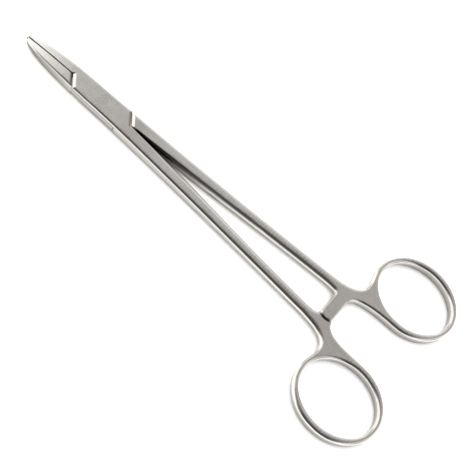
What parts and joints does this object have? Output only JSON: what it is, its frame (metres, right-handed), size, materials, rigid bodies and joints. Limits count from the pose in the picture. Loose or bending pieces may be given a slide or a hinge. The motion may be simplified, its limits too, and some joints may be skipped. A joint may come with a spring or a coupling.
{
  "type": "needle holder",
  "caption": "Steel needle holder with straight cross-serrated jaws, a box lock, slim shanks, a ratchet and two finger rings, shown closed.",
  "frame": {"origin": "on the pivot's axis, in the plane of the box lock's rear face, on which the instrument lies", "axes": "+X from the pivot to the jaw tips, +Z along the pivot and up, away from the surface that the instrument lies on"},
  "size_m": [0.1803, 0.0782, 0.0051],
  "materials": {
    "satin_steel": "satin",
    "satin_steel_tongue": "satin",
    "ground_steel": "fine ground"
  },
  "bodies": {
    "box_body": {"box_half": "satin_steel", "pivot_pin": "ground_steel"},
    "tongue_body": {"tongue_half": "satin_steel_tongue"}
  },
  "joints": [
    {"name": "pivot_hinge", "type": "hinge", "parent": "box_body", "child": "tongue_body", "pos_m": [0, 0, 0.00255], "axis": [0, 0, 1], "range_deg": [0, 40]}
  ]
}
